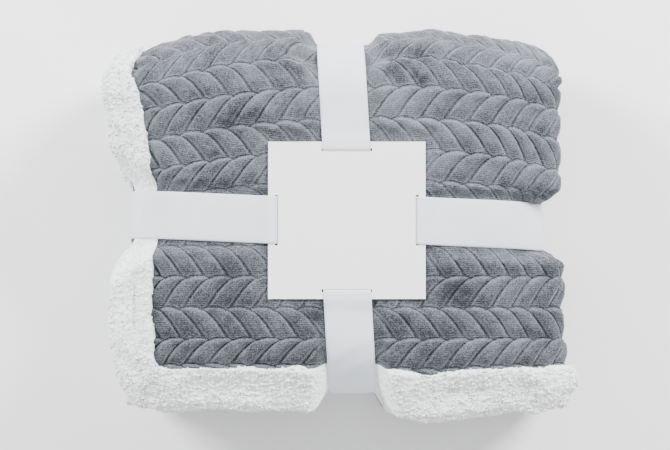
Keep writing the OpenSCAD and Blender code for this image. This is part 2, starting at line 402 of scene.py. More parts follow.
def add_mesh(name, points, material, uv=None, around=False, extra=None):
    """Makes one mesh object from a grid of points, as quads, with a UV map in metres and further point
    values."""
    n, m = points.shape[:2]
    i, j = grid(np.arange(n if around else n - 1), np.arange(m - 1))
    k = (i + 1) % n
    quads = np.stack([i * m + j, k * m + j, k * m + j + 1, i * m + j + 1], axis=-1).reshape(-1, 4)
    values = {key: value.reshape(-1) for key, value in (extra or {}).items()}
    flat_uv = None if uv is None else uv.reshape(-1, 2)
    return new_object(name, points.reshape(-1, 3), quads, material, flat_uv, values)


def new_object(name, points, quads, material, uv=None, values=None):
    """Puts arrays of points and of four-sided faces into a new smooth mesh object."""
    mesh = bpy.data.meshes.new(name)
    mesh.vertices.add(len(points))
    mesh.vertices.foreach_set("co", np.ascontiguousarray(points, dtype=np.float32).ravel())
    mesh.loops.add(quads.size)
    mesh.loops.foreach_set("vertex_index", quads.astype(np.int32).ravel())
    mesh.polygons.add(len(quads))
    mesh.polygons.foreach_set("loop_start", np.arange(0, quads.size, 4, dtype=np.int32))
    mesh.update(calc_edges=True)
    mesh.validate()
    mesh.polygons.foreach_set("use_smooth", np.ones(len(mesh.polygons), dtype=bool))
    if uv is not None:
        layer = mesh.uv_layers.new(name="cloth")
        layer.data.foreach_set("uv", uv[quads.ravel()].astype(np.float32).ravel())
    for key, value in (values or {}).items():
        layer = mesh.attributes.new(key, "FLOAT", "POINT")
        layer.data.foreach_set("value", np.ascontiguousarray(value, dtype=np.float32))
    obj = bpy.data.objects.new(name, mesh)
    bpy.context.collection.objects.link(obj)
    obj.data.materials.append(material)
    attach(obj, BODY)
    return obj


def lifted(p, relief, sign=1.0, rest=0.0):
    """The tied shape of loose points p, with a relief standing out of it that a ribbon presses flat.
    What would sink below the height rest lies flat on it."""
    q, press = placed(p)
    n = normals(q) * sign
    q = q + n * (relief * (1 - 0.95 * ease(press * 1.8)))[..., None]
    q[..., 2] = np.maximum(q[..., 2], rest)
    return q, press


# ---------------------------------------------------------------- materials


class Wire:
    """One output socket, with Python's arithmetic adding Math nodes."""

    def __init__(self, mat, socket):
        self.mat, self.socket = mat, socket

    def math(self, operation, *others):
        return self.mat.node("ShaderNodeMath", {"operation": operation}, self, *others)

    def __add__(self, other):
        return self.math("ADD", other)

    def __sub__(self, other):
        return self.math("SUBTRACT", other)

    def __mul__(self, other):
        return self.math("MULTIPLY", other)

    def __truediv__(self, other):
        return self.math("DIVIDE", other)

    def __pow__(self, other):
        return self.math("POWER", other)

    def __mod__(self, other):
        return self.math("FLOORED_MODULO", other)

    def __rsub__(self, other):
        return self.mat.node("ShaderNodeMath", {"operation": "SUBTRACT"}, other, self)

    __radd__ = __add__
    __rmul__ = __mul__


class Finish:
    """A material that is built up as expressions."""

    def __init__(self, name, colour, **settings):
        self.material = bpy.data.materials.new(name)
        self.material.use_nodes = True
        self.tree = self.material.node_tree
        self.shader = self.tree.nodes["Principled BSDF"]
        self.material.diffuse_color = (*colour, 1)
        self.shader.inputs["Base Color"].default_value = (*colour, 1)
        for key, value in settings.items():
            self.shader.inputs[key.replace("_", " ")].default_value = value

    def node(self, kind, settings, *values, output=0, **named):
        """Adds one node: its settings first, then the values or wires of its sockets, by place or by
        name."""
        made = self.tree.nodes.new(kind)
        for key, value in settings.items():
            setattr(made, key, value)
        sockets = [(made.inputs[i], v) for i, v in enumerate(values)]
        sockets += [(made.inputs[key.replace("_", " ")], v) for key, v in named.items()]
        for socket, value in sockets:
            if isinstance(value, Wire):
                self.tree.links.new(value.socket, socket)
            else:
                socket.default_value = value
        return Wire(self, made.outputs[output])

    def uv(self):
        """The two coordinates of the piece's own map, in metres."""
        both = self.node("ShaderNodeUVMap", {"uv_map": "cloth"})
        split = self.node("ShaderNodeSeparateXYZ", {}, both)
        return split, Wire(self, split.socket.node.outputs[1])

    def place(self):
        return self.node("ShaderNodeTexCoord", {}, output=3)

    def value(self, name):
        return self.node("ShaderNodeAttribute", {"attribute_name": name}, output=2)

    def noise(self, scale, detail=2.0, where=None, rough=0.5):
        return self.node("ShaderNodeTexNoise", {}, Vector=where or self.place(), Scale=scale, Detail=detail,
                         Roughness=rough)

    def mix(self, share, first, second):
        """A colour between two: a share of 0 gives the first."""
        made = self.tree.nodes.new("ShaderNodeMix")
        made.data_type = "RGBA"
        for socket, value in zip((made.inputs[0], made.inputs[6], made.inputs[7]), (share, first, second)):
            if isinstance(value, Wire):
                self.tree.links.new(value.socket, socket)
            else:
                socket.default_value = value if isinstance(value, (int, float)) else (*value, 1)
        return Wire(self, made.outputs[2])

    def step(self, wire, low, high):
        """0 below low and 1 above high, eased between."""
        eased = {"interpolation_type": "SMOOTHSTEP"}
        return self.node("ShaderNodeMapRange", eased, wire, low, high, 0.0, 1.0)

    def feed(self, socket, wire):
        self.tree.links.new(wire.socket, self.shader.inputs[socket])

    def bump(self, height, distance, strength=1.0):
        made = self.node("ShaderNodeBump", {}, Height=height, Distance=distance, Strength=strength)
        self.feed("Normal", made)


def plush_finish(sizes):
    """Blue-grey plush: painted shade in the braid's grooves, at each leaf's foot and towards the front and
    the left, a painted highlight on its leaves' rims, crushed spots, and fine level ribs."""
    base = tuple(sizes.plush_colour)
    m = Finish("plush_braid", base, Roughness=0.9, Sheen_Weight=0.4, Sheen_Roughness=0.3,
               Specular_IOR_Level=0.15)
    s, t = m.uv()

    def leans(k):
        return 1 - (k % 2.0) * 2

    def tops(k):
        c = ((s - sizes.leaf_start - leans(k) * sizes.leaf_run) / sizes.leaf_pitch).math("FRACT")
        return (c * (1 - c) * 4) ** 0.6 * sizes.arch

    row = (t - sizes.row_start) / sizes.row_height
    k = row.math("FLOOR")
    k = k - ((row - k) * sizes.row_height).math("LESS_THAN", tops(k - 1))
    up = row - k
    head = (1 - up) * sizes.row_height + tops(k)
    foot = up * sizes.row_height - tops(k - 1)
    run = (1 - (1 - up).math("MAXIMUM", 0.0) ** 0.62) * sizes.leaf_run
    phase = (s - sizes.leaf_start - leans(k) * run) / sizes.leaf_pitch
    c = phase.math("FRACT")
    ragged = (m.noise(420.0, 2.0) - 0.5) * 0.0012
    side = c.math("MINIMUM", 1 - c) * sizes.leaf_pitch * 0.8 + ragged
    edge = side.math("MINIMUM", head + ragged).math("MINIMUM", foot + 0.0004)
    # groove: the braid's grooves, where the colour is darkened as painted shade
    groove = 1 - m.step(edge, 0.0001, 0.0012)
    # rim: a band beside each groove that is painted lighter, a painted highlight where the leaf's pile turns
    rim = m.step(edge, 0.0007, 0.0016) * (1 - m.step(edge, 0.0016, 0.0036))
    own = ((phase.math("FLOOR") * 12.9898 + k * 78.233).math("SINE") * 43758.5).math("FRACT")
    cloud = m.noise(14.0, 3.0)
    mottle = m.noise(75.0, 3.0, rough=0.6)
    pile = m.noise(1000.0, 2.0, rough=0.7)
    rib = (t * (2 * pi / 0.0015)).math("SINE") * 0.5 + 0.5
    hard = m.value("crushed")
    shade = 0.46 + (own - 0.5) * 0.12 + (cloud - 0.5) * 0.6 + (mottle - 0.5) * 0.9 + (pile - 0.5) * 2.3
    # A noise mask that varies how dark the painted shade in the grooves is
    groove_strength = m.step(m.noise(30.0, 2.0), 0.3, 0.65)
    # Painted shade in the grooves, a painted highlight on the leaves' rims, and the cloth's own fine ribs
    shade = shade - groove * groove_strength * 0.24 + rim * 0.28 + (rib - 0.5) * 0.18
    # Painted shade at each leaf's foot, under the arched tops of the row below
    shade = shade - (1 - m.step(foot, 0.0, 0.008)) * 0.14
    # Painted shade: the plush is darker towards the front and towards the left
    front_left_shade = m.step(t, -0.07, 0.08) * 0.17 + m.step(s, -0.12, 0.12) * 0.10 - 0.19
    shade = shade - hard * 0.45 + front_left_shade
    dark = tuple(v * 0.28 for v in base)
    light = tuple(v * 1.9 for v in base)
    m.feed("Base Color", m.mix(shade.math("MAXIMUM", 0.0), dark, light))
    m.bump(rib * 0.15 + pile * 0.5 - groove * 0.45 + mottle * 0.4 - hard * 0.3, 0.0012, 0.9)
    return m.material


def sherpa_finish(sizes):
    """Off-white curly pile: painted shade in the pits between its clumps and curls and in small specks, and
    fine curls as bump.
    """
    base = tuple(sizes.sherpa_colour)
    m = Finish("curly_sherpa", base, Roughness=0.95, Sheen_Weight=0.2, Sheen_Roughness=0.5,
               Specular_IOR_Level=0.1)
    bend = m.node("ShaderNodeTexNoise", {}, Vector=m.place(), Scale=220.0, Detail=1.0, output=1)
    amount = (0.0015, 0.0015, 0.0015)
    where = m.node("ShaderNodeVectorMath", {"operation": "MULTIPLY_ADD"}, bend, amount, m.place())
    curl = m.node("ShaderNodeTexVoronoi", {"feature": "SMOOTH_F1"}, Vector=where, Scale=390.0)
    fine = m.noise(900.0, 2.0, rough=0.6)
    soft = m.noise(90.0, 2.0)
    depth = m.value("depth")
    low = 1 - m.step(depth, -0.6, 0.1)
    dark = tuple(v * 0.5 for v in base)
    specks = m.step(m.noise(330.0, 1.0), 0.62, 0.72)
    # Painted shade: low relief, the edges of the curls and the small sunk specks are darker
    shade = low * 0.2 + (curl - 0.35) * 0.42 + (soft - 0.5) * 0.3 + (fine - 0.5) * 0.6 + specks * 0.32
    m.feed("Base Color", m.mix(shade.math("MAXIMUM", 0.0), base, dark))
    m.bump(fine * 0.4 - curl * 1.0 - specks * 0.5 + soft * 0.3, 0.0015, 0.9)
    return m.material


def satin_finish(sizes):
    """White satin: fine threads across the ribbon, a double woven line at each edge, and a slight see-
    through."""
    base = tuple(sizes.ribbon_colour)
    m = Finish("white_satin", base, Roughness=0.42, Sheen_Weight=0.2, Specular_IOR_Level=0.45)
    s, t = m.uv()
    thread = (s * (2 * pi / 0.00045)).math("SINE") * 0.5 + 0.5
    cloud = m.noise(60.0, 2.0)
    inset = t.math("ABSOLUTE")
    edge = Band.HALF
    line = 1 - m.step((inset - (edge - 0.0012)).math("ABSOLUTE"), 0.0, 0.0004)
    line = line + (1 - m.step((inset - (edge - 0.0024)).math("ABSOLUTE"), 0.0, 0.0003)) * 0.6
    dark = tuple(v * 0.86 for v in base)
    m.feed("Base Color", m.mix(line * 0.5 + (cloud - 0.5) * 0.2, base, dark))
    m.feed("Roughness", 0.38 + cloud * 0.12)
    m.bump(thread * 0.12 + cloud * 0.3 - line * 0.4, 0.0004, 0.5)
    m.shader.inputs["Alpha"].default_value = 0.7
    return m.material


def card_finish(sizes):
    """Smooth white board with the faintest mottle of its fibres."""
    base = tuple(sizes.card_colour)
    m = Finish("smooth_board", base, Roughness=0.6, Specular_IOR_Level=0.35)
    fibre = m.noise(900.0, 3.0)
    cloud = m.noise(14.0, 1.0)
    dark = tuple(v * 0.93 for v in base)
    m.feed("Base Color", m.mix((fibre - 0.5) * 0.2 + (cloud - 0.5) * 0.25, base, dark))
    m.feed("Roughness", 0.52 + fibre * 0.14)
    m.bump(fibre, 0.00008, 0.4)
    return m.material


def thread_finish(name, colour, twist):
    """Spun thread or tape: a fine slanting twist in colour and bump."""
    m = Finish(name, colour, Roughness=0.7)
    where = m.node("ShaderNodeSeparateXYZ", {}, m.place())
    x, y = where, Wire(m, where.socket.node.outputs[1])
    line = ((x + y) * (2 * pi / twist)).math("SINE") * 0.5 + 0.5
    m.feed("Base Color", m.mix(line * 0.5 + m.noise(300.0) * 0.3, colour, tuple(v * 0.8 for v in colour)))
    m.bump(line, 0.0001, 0.6)
    return m.material


def tape_finish():
    """Double-sided tape: yellowish and nearly clear, with small air spots."""
    m = Finish("double_sided_tape", (0.8, 0.77, 0.68), Roughness=0.3)
    spots = m.step(m.noise(700.0, 1.0), 0.62, 0.7)
    m.feed("Base Color", m.mix(spots, (0.8, 0.77, 0.68), (0.9, 0.88, 0.82)))
    m.feed("Roughness", 0.25 + spots * 0.3)
    m.shader.inputs["Alpha"].default_value = 0.8
    return m.material


# ---------------------------------------------------------------- settings


def metres(name, description, default):
    """A setting in metres."""
    return FloatProperty(name=name, description=description, default=default, unit="LENGTH")


def tint(name, description, default):
    """A colour setting."""
    return FloatVectorProperty(name=name, description=description, default=default, subtype="COLOR")


class ThrowSizes(bpy.types.PropertyGroup):
    """Sizes and colours of the throw's visible cloth."""

    hem: metres("Hem width", "Width of the turned hem", 0.039)
    pile: metres("Pile height", "How far the sherpa's clumps stand out", 0.0033)
    clump: metres("Clump size", "Width of one clump of sherpa pile", 0.0078)
    row_height: metres("Row height", "Height of one row of the braid", 0.02475)
    row_start: metres("Row start", "Place of one row's lower line", -0.0681)
    leaf_pitch: metres("Leaf pitch", "Distance from one leaf to the next", 0.0188)
    leaf_start: metres("Leaf start", "Place of one leaf's lower end", 0.007)
    leaf_run: metres("Leaf run", "How far a leaf slants along its row", 0.022)
    puff: metres("Puff", "How far a leaf stands out of its grooves", 0.0042)
    arch: metres("Arch", "How far a leaf's top arches over its row's line", 0.0026)
    curls: IntProperty(name="Curls", description="Number of loose curls of pile on the hem", default=2600)
    plush_colour: tint("Plush colour", "Colour of the embossed face", (0.086, 0.094, 0.110))
    sherpa_colour: tint("Sherpa colour", "Colour of the pile", (0.82, 0.86, 0.87))
    ribbon_colour: tint("Ribbon colour", "Colour of the satin", (0.81, 0.86, 0.94))
    card_colour: tint("Card colour", "Colour of the card", (0.82, 0.83, 0.84))


class StageSizes(bpy.types.PropertyGroup):
    """Camera, floor and lights."""

    tilt: FloatProperty(name="Tilt", description="Height of the camera's line of sight above the floor",
                        default=radians(88), subtype="ANGLE")
    distance: metres("Distance", "From the camera to the pack", 1.75)
    picture: metres("Picture width", "Width that the picture shows at the pack's top", 0.532)


CRUSHED = [(-0.032, 0.128, 0.012), (-0.083, 0.082, 0.015), (0.044, 0.139, 0.010), (0.064, 0.136, 0.010),
           (0.046, 0.122, 0.010), (0.064, 0.117, 0.008), (0.095, -0.053, 0.010), (-0.023, -0.073, 0.009)]


def crushed(x, y):
    """Where the plush was pressed: round spots with ragged edges."""
    total = np.zeros(np.shape(x))
    for a, b, r in CRUSHED:
        total += np.exp(-((x - a) ** 2 * 0.7 + (y - b) ** 2 * 1.4) / r**2)
    ragged = 0.75 + 0.5 * wander(x, y, 0.006, 41)
    veins = ease((wander(x, y, 0.03, 43) + wander(x, y, 0.011, 44) - 0.55) / 0.8)
    return np.clip(total * ragged + 0.3 * veins, 0, 1)


# ---------------------------------------------------------------- operators


MADE = {}


def finishes():
    """The finishes by slot name, made once."""
    sizes = bpy.context.scene.throw_sizes
    if not MADE:
        MADE["embossed_plush"] = plush_finish(sizes)
        MADE["sherpa_pile"] = sherpa_finish(sizes)
        MADE["satin_ribbon"] = satin_finish(sizes)
        MADE["white_card"] = card_finish(sizes)
        MADE["sewing_thread"] = thread_finish("spun_thread", (0.8, 0.81, 0.8), 0.0006)
        MADE["label_tape"] = thread_finish("woven_tape", (0.82, 0.82, 0.8), 0.0008)
        MADE["clear_tape"] = tape_finish()
    return MADE


def plush_sheet(name, x, v, sink=0.0):
    """A stretch of the embossed face on the fold's skin, with the braid standing out of it. Below the
    hem at the left it is pressed flat."""
    sizes = bpy.context.scene.throw_sizes
    xs, vs = grid(x, v)
    p = skin(xs, vs, -sink)
    t = braid_place(p, vs)
    covered = np.where(vs > SEGMENTS[2] - 0.01, sizes.hem - 0.003, sizes.hem * 0.5)
    bare = ease((xs - LEFT - covered) / 0.004)
    relief = sizes.puff * (braid(xs, t, sizes) - 0.75) * bare - 0.0025 * (1 - bare)
    q, _ = lifted(p, relief, rest=0.0006)
    spots = crushed(q[..., 0], q[..., 1]) * (q[..., 2] > HEIGHT * 0.5)
    uv = np.stack([xs, t], axis=-1)
    obj = add_mesh(name, q, finishes()["embossed_plush"], uv, extra={"crushed": spots})
    return obj


class THROW_OT_plush(bpy.types.Operator):
    """Lays the embossed plush over the top, round the folds and along the underside"""

    bl_idname = "throw.plush"
    bl_label = "Plush Face"

    def execute(self, context):
        sizes = context.scene.throw_sizes
        under_hem = 0.010
        x0 = LEFT + 0.016
        x1 = HIDDEN_END
        v0 = sizes.hem - under_hem
        fine, coarse = 0.00145, 0.0024
        low_end = SEGMENTS[2] + 0.04
        top = plush_sheet("embossed_top_cloth", steps(x0, x1, fine), steps(v0, low_end, fine))
        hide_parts("plush_face")
        v1, v2 = low_end - 0.008, SEGMENTS[4] + 0.02
        low = plush_sheet("embossed_underside_cloth", steps(x0, x1, coarse), steps(v1, v2, coarse), 0.0005)
        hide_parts("plush_face")
        x2, v3, v4 = TURN_RIGHT - 0.015, SEGMENTS[4], SEGMENTS[7] - sizes.hem
        inner = plush_sheet("embossed_inner_fold", steps(x2, x1, coarse), steps(v3, v4, coarse))
        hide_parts("plush_face")
        return {"FINISHED"}


class THROW_OT_left_folds(bpy.types.Operator):
    """Rolls the plush of the folds that lie between the open hems at the left"""

    bl_idname = "throw.left_folds"
    bl_label = "Left Folds"

    def execute(self, context):
        sizes = context.scene.throw_sizes
        flat = 0.015
        s = steps(-flat, pi * PLY + flat, 0.0016)
        v = steps(sizes.hem, SEGMENTS[7] - sizes.hem, 0.0026)
        ss, vs = grid(s, v)
        a = np.clip(ss / PLY, 0, pi)
        spare = np.maximum(-ss, 0) + np.maximum(ss - pi * PLY, 0)
        x = TURN_LEFT + 0.0075 - PLY * np.sin(a) + spare
        y, z = folded(vs, PLY + PLY * np.cos(a))
        relief = sizes.puff * 0.8 * (braid(ss, vs, sizes) - 0.75)
        q, _ = lifted(np.stack([x, y, z], axis=-1), relief, -1.0)
        obj = add_mesh("embossed_left_folds", q[:, ::-1], finishes()["embossed_plush"],
                       np.stack([ss, vs], axis=-1)[:, ::-1], extra={"crushed": np.zeros(ss.shape)})
        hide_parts("plush_face")
        return {"FINISHED"}


def hem_lines(sizes):
    """The upper hem's outer and inner line on the skin, as (x, v) points: along the front, round the
    corner and up the left side to the back turn."""
    corner = 0.016
    step = 0.0012
    front = steps(HIDDEN_END, LEFT + corner, step)
    bend = np.linspace(0, pi / 2, 22)[1:-1]
    side = steps(corner, SEGMENTS[2], step)
    x = np.concatenate([front, LEFT + corner - corner * np.sin(bend), np.full(len(side), LEFT)])
    v = np.concatenate([np.zeros(len(front)), corner - corner * np.cos(bend), side])
    hem = sizes.hem
    turn = OUTER_TURN / 2
    narrow = hem * through(side, [(0, 1), (0.05, 1.02), (0.087, 0.95), (0.116, 0.95), (0.127, 1.03),
                                  (0.14, 1.02), (0.19, 0.99), (0.205, 0.92), (0.223, 0.82), (0.24, 0.81),
                                  (TOP_RUN, 0.75), (TOP_RUN + turn * 0.4, 0.55), (TOP_RUN + turn, 0.55),
                                  (SEGMENTS[2], 1)])
    inner_x = np.concatenate([np.maximum(front, LEFT + hem), np.full(len(bend), LEFT + hem), LEFT + narrow])
    inner_v = np.concatenate([np.full(len(front), hem), np.full(len(bend), hem), np.maximum(side, hem)])
    return x, v, inner_x, inner_v


def hem_profile(depth):
    """Height of the hem above the cloth at the share 0 (outer line) to 1 (inner line): it rolls down to
    the cloth."""
    swell = 0.0015 + 0.0028 * np.sqrt(np.clip(1 - ((depth - 0.5) / 0.52) ** 6, 0, 1))
    return swell - 0.0055 * ease((depth - 0.94) / 0.06)


def tufts(name, q, free, count, seed):
    """Loose curls of pile on a grid of points: each leaves the cloth, arches over as half a sine wave
    and goes back in, in a direction of its own."""
    rng = np.random.default_rng(seed)
    along = np.gradient(q, axis=0)
    pick = rng.choice(np.flatnonzero(free), count)
    base, up, along = (a.reshape(-1, 3)[pick] for a in (q, normals(q), along))
    along = along / np.linalg.norm(along, axis=1, keepdims=True)
    turn = rng.uniform(0, 2 * pi, (count, 1))
    way = along * np.cos(turn) + np.cross(up, along) * np.sin(turn)
    side = np.cross(way, up)
    size = rng.uniform(0.7, 1.3, (count, 1, 1))
    share = np.linspace(0, 1, 5)[None, :, None]
    arch = np.sin(pi * share)
    flat, rise = (share - 0.5) * 0.0034, 0.0009 * arch - 0.0006
    line = base[:, None] + size * (way[:, None] * flat + up[:, None] * rise)
    around = np.linspace(0, 2 * pi, 4, endpoint=False)[None, None, :, None]
    ring = np.cos(around) * side[:, None, None] + np.sin(around) * up[:, None, None]
    points = line[:, :, None] + ring * (0.0009 * size * (0.4 + 0.6 * arch))[:, :, None]
    n, i, j = np.meshgrid(np.arange(count), np.arange(4), np.arange(4), indexing="ij")
    first, k = (n * 5 + i) * 4, (j + 1) % 4
    quads = np.stack([first + j, first + 4 + j, first + 4 + k, first + k], axis=-1).reshape(-1, 4)
    obj = new_object(name, points.reshape(-1, 3), quads, finishes()["sherpa_pile"],
                     values={"depth": np.full(count * 20, 0.2)})
    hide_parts("sherpa_backing")
    return obj


class THROW_OT_top_hem(bpy.types.Operator):
    """Turns the sherpa hem over the front and left edges of the uppermost ply"""

    bl_idname = "throw.top_hem"
    bl_label = "Upper Hem"

    def execute(self, context):
        sizes = context.scene.throw_sizes
        x, v, inner_x, inner_v = hem_lines(sizes)
        fold = PLY * 0.55
        on_top = steps(1, 0, 0.0012 / sizes.hem)
        nose = np.linspace(0, pi, 15)[1:]
        inside = steps(0, 0.012, 0.002)[1:]
        share = np.concatenate([on_top, np.zeros(len(nose) + len(inside))])
        bend = np.concatenate([np.zeros(len(on_top)), nose, np.full(len(inside), pi)])
        back = np.concatenate([np.zeros(len(on_top) + len(nose)), inside])
        ii, kk = grid(np.arange(len(x)), np.arange(len(share)))
        sh, be, bk = share[kk], bend[kk], back[kk]
        dx, dv = np.gradient(x), np.gradient(v)
        length = np.hypot(dx, dv)
        nx, nv = -np.abs(dv / length)[ii], -np.abs(dx / length)[ii]
        out = fold * np.sin(be) - bk
        off = np.where(sh > 0, -fold * (1 - sh), out - fold)
        px = x[ii] * (1 - sh) + inner_x[ii] * sh + nx * off
        pv = v[ii] * (1 - sh) + inner_v[ii] * sh + nv * off
        e = np.where(sh > 0, hem_profile(sh), -fold + fold * np.cos(be) + hem_profile(0.0))
        seam = np.exp(-((sh - 0.52 - 0.05 * wander(ii * 0.0012, sh * 0, 0.05, 51)) / 0.05) ** 2) * (sh > 0)
        # How strong the seam's crease is, in depth and in painted shade: weak at the corner, growing up the
        # side
        groove_strength = 0.2 + 0.6 * ease((np.arange(len(x)) - np.argmax(v > sizes.hem)) / 40)
        seam = seam * groove_strength[ii] * (0.6 + 0.4 * wander(ii * 0.0012, sh * 0, 0.02, 52))
        p = skin(px, pv, e - 0.0022 * seam)
        along = np.concatenate([[0], np.cumsum(np.hypot(np.diff(x), np.diff(v)))])[ii]
        across = sh * sizes.hem - fold * be - bk
        relief = sherpa(along, across, sizes)
        grown = 1 - 0.55 * (be > 0) * ease(np.abs(be - pi / 2) / (pi / 2))
        q, press = lifted(p, sizes.pile * relief * grown)
        # The seam's crease is sunk into the hem, and through the depth value it is also painted darker as
        # painted shade
        obj = add_mesh("top_hem", q, finishes()["sherpa_pile"], np.stack([along, across], axis=-1),
                       extra={"depth": relief - 0.8 * seam})
        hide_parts("sherpa_backing")
        free = (be < 2.2) & (press < 0.2) & (sh < 0.97) & (q[..., 2] > 0.01)
        curls = tufts("top_hem_curls", q, free, sizes.curls, 5)
        return {"FINISHED"}


def edge_roll(name, path, step_in, sizes, seed, direction=1.0):
    """A ply's rounded sherpa edge: a half round nose and two short flats, carried along a path.

    path gives the loose place of the ply's mid line for the distances out of the edge (first argument)
    and across the ply's thickness (second).
    """
    half = PLY * 0.52
    bend = np.linspace(-pi / 2, pi / 2, 9)
    inwards = -steps(half, step_in, 0.003)[1:]
    out = np.concatenate([inwards[::-1], half * (np.cos(bend) - 1), inwards])
    across = np.concatenate([np.full(len(inwards), -half), half * np.sin(bend), np.full(len(inwards), half)])
    p, along = path(out, across)
    around = np.concatenate([[0], np.cumsum(np.hypot(np.diff(out), np.diff(across)))])
    aa, rr = grid(along, around)
    relief = sherpa(aa, rr, sizes, seed)
    q, _ = lifted(p, sizes.pile * 0.8 * relief, direction)
    if direction < 0:
        q, aa, rr, relief = q[:, ::-1], aa[:, ::-1], rr[:, ::-1], relief[:, ::-1]
    obj = add_mesh(name, q, finishes()["sherpa_pile"], np.stack([aa, rr], axis=-1), extra={"depth": relief})
    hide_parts("sherpa_backing")
    float(along[-1] - along[0])
    return obj


def side_path(mid, v0, v1, step=0.0028):
    """Path of a ply's left edge along the fold, at the height mid in its stack."""

    def path(out, across):
        v = steps(v0, v1, step)
        vv, k = grid(v, np.arange(len(out)))
        y, z = folded(vv, mid + across[k])
        return np.stack([np.broadcast_to(LEFT - out[k], y.shape), y, z], axis=-1), v

    return path


def spiral(s, e):
    """Place (x, h) in the stack's section at the distance s along the plies' mid line and e to its
    outer side: right along the top ply, round the outer fold, left, round the left fold, right, round
    the inner fold, left."""
    a, b = TURN_RIGHT - LEFT, TURN_RIGHT - TURN_LEFT
    lengths = np.cumsum([0, a, 1.5 * pi * PLY, b, 0.5 * pi * PLY, b, 0.5 * pi * PLY, a])
    x, h = LEFT + s, STACK - PLY / 2 + e
    runs = ((2, TURN_RIGHT, -1, PLY / 2 - e), (4, TURN_LEFT, 1, 1.5 * PLY + e),
            (6, TURN_RIGHT, -1, 2.5 * PLY - e))
    for k, x0, way, level in runs:
        start = lengths[k]
        on = s >= start
        x, h = np.where(on, x0 + way * (s - start), x), np.where(on, level, h)
    turns = ((0, TURN_RIGHT, 2 * PLY, 1.5 * PLY + e, 1, 1), (2, TURN_LEFT, PLY, PLY / 2 + e, -1, -1),
             (4, TURN_RIGHT, 2 * PLY, PLY / 2 - e, 1, -1))
    for k, x0, h0, r, side, way in turns:
        start, end = lengths[k + 1], lengths[k + 2]
        on = (s >= start) & (s < end)
        a = (s - start) / (end - start) * pi
        x, h = np.where(on, x0 + side * r * np.sin(a), x), np.where(on, h0 + way * r * np.cos(a), h)
    return x, h, lengths


def front_path(s0, s1, upper, step=0.0028):
    """Path of the plies' front edges through one open stack, the upper one or the one below it, upside
    down."""

    def path(out, across):
        s = steps(s0, s1, step)
        ss, k = grid(s, np.arange(len(out)))
        x, h, _ = spiral(ss, across[k])
        z = 3 * STACK + h if upper else 3 * STACK - h
        return np.stack([x, np.broadcast_to(FRONT - out[k], x.shape), z], axis=-1), s

    return path


class THROW_OT_edges(bpy.types.Operator):
    """Stacks the sherpa edges of the plies below, at the left side and at the front"""

    bl_idname = "throw.edges"
    bl_label = "Stacked Edges"

    def execute(self, context):
        sizes = context.scene.throw_sizes
        outer, second = STACK - PLY / 2, STACK - 1.5 * PLY
        end = SEGMENTS[7]
        _, _, lengths = spiral(np.zeros(1), np.zeros(1))
        edge_roll("left_hem_edge", side_path(second, 0.004, end - 0.004), 0.016, sizes, 3, -1.0)
        edge_roll("left_hem_inner", side_path(outer, SEGMENTS[4] - 0.01, end - 0.004), 0.014, sizes, 7, -1.0)
        deep = sizes.hem + 0.004
        edge_roll("front_edges_upper", front_path(lengths[2], lengths[7], True), deep, sizes, 23, -1.0)
        edge_roll("front_edges_lower", front_path(0.0, lengths[7], False), deep, sizes, 29)
        return {"FINISHED"}


class THROW_OT_low_hem(bpy.types.Operator):
    """Turns the sherpa hem over the left edge of the lowest ply, along the underside and up the front
    fold"""

    bl_idname = "throw.low_hem"
    bl_label = "Lower Hem"

    def execute(self, context):
        sizes = context.scene.throw_sizes
        fold = PLY * 0.5
        flat = steps(sizes.hem, fold, 0.0022)
        bend = np.linspace(0, pi, 9)[1:]
        inside = steps(fold, 0.016, 0.003)[1:]
        x = np.concatenate([flat, fold - fold * np.sin(bend), inside])
        e = np.concatenate([hem_profile(flat / sizes.hem) - 0.0032, -fold + fold * np.cos(bend) - 0.0004,
                            np.full(len(inside), -2 * fold - 0.0004)])
        e = np.minimum(e, 0.0)
        v = steps(SEGMENTS[2] - 0.003, SEGMENTS[4] + 0.01, 0.0022)
        around = np.concatenate([[0], np.cumsum(np.hypot(np.diff(x), np.diff(e)))])
        kk, vv = grid(np.arange(len(x)), v)
        p = skin(LEFT + x[kk], vv, e[kk])
        relief = sherpa(vv, around[kk], sizes, 61)
        pressed = e[kk] > -0.0012
        q, _ = lifted(p, sizes.pile * np.where(pressed, 0.35 * (relief - 0.3), relief))
        obj = add_mesh("underside_hem", q, finishes()["sherpa_pile"], np.stack([vv, around[kk]], axis=-1),
                       extra={"depth": relief})
        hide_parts("sherpa_backing")
        return {"FINISHED"}


def ribbon_route(band, over, lap):
    """The ribbon's own line in its plane, as (along, height), from one overlapping end round the pack to
    the other.

    It is straight below, a quarter circle at each rim, straight above, and over the card it rises
    through a slot on an eased slope, lies on the card's edge and comes down again.
    """
    r, step, mid = band.RADIUS, 0.0025, CARD_MID[band.axis]
    a0, a1 = band.from_ + 0.0002, band.to - 0.0002
    z0, z1 = band.low, band.high
    quarter = np.linspace(0, pi / 2, 34)
    sine, cosine = r * np.sin(quarter), r * np.cos(quarter)
    under = steps(lap - 0.03, a1 - r, step)
    top = steps(a1 - r, a0 + r, 0.0012)[1:-1]
    rest = steps(a0 + r, lap - 0.001, step)
    climb, slot_half, slot_fade, lower = 0.011, 0.0016, 0.0022, 0.0004
    rise = ease((CARD_HALF + climb - np.abs(top - mid)) / climb) * (over - z1)
    dive = ease((np.abs(top - mid) - SLOT + slot_half) / slot_fade)
    drop = lower * ease((under - lap) / -0.004)
    along = np.concatenate([under, a1 - r + sine, (a1 - r + cosine)[1:], top, a0 + r - sine,
                            (a0 + r - cosine)[1:], rest])
    height = np.concatenate([z0 - drop, z0 + r - cosine, (z1 - r + sine)[1:], z1 + rise * dive,
                             z1 - r + cosine, (z0 + r - sine)[1:], np.full(len(rest), z0)])
    return along, height


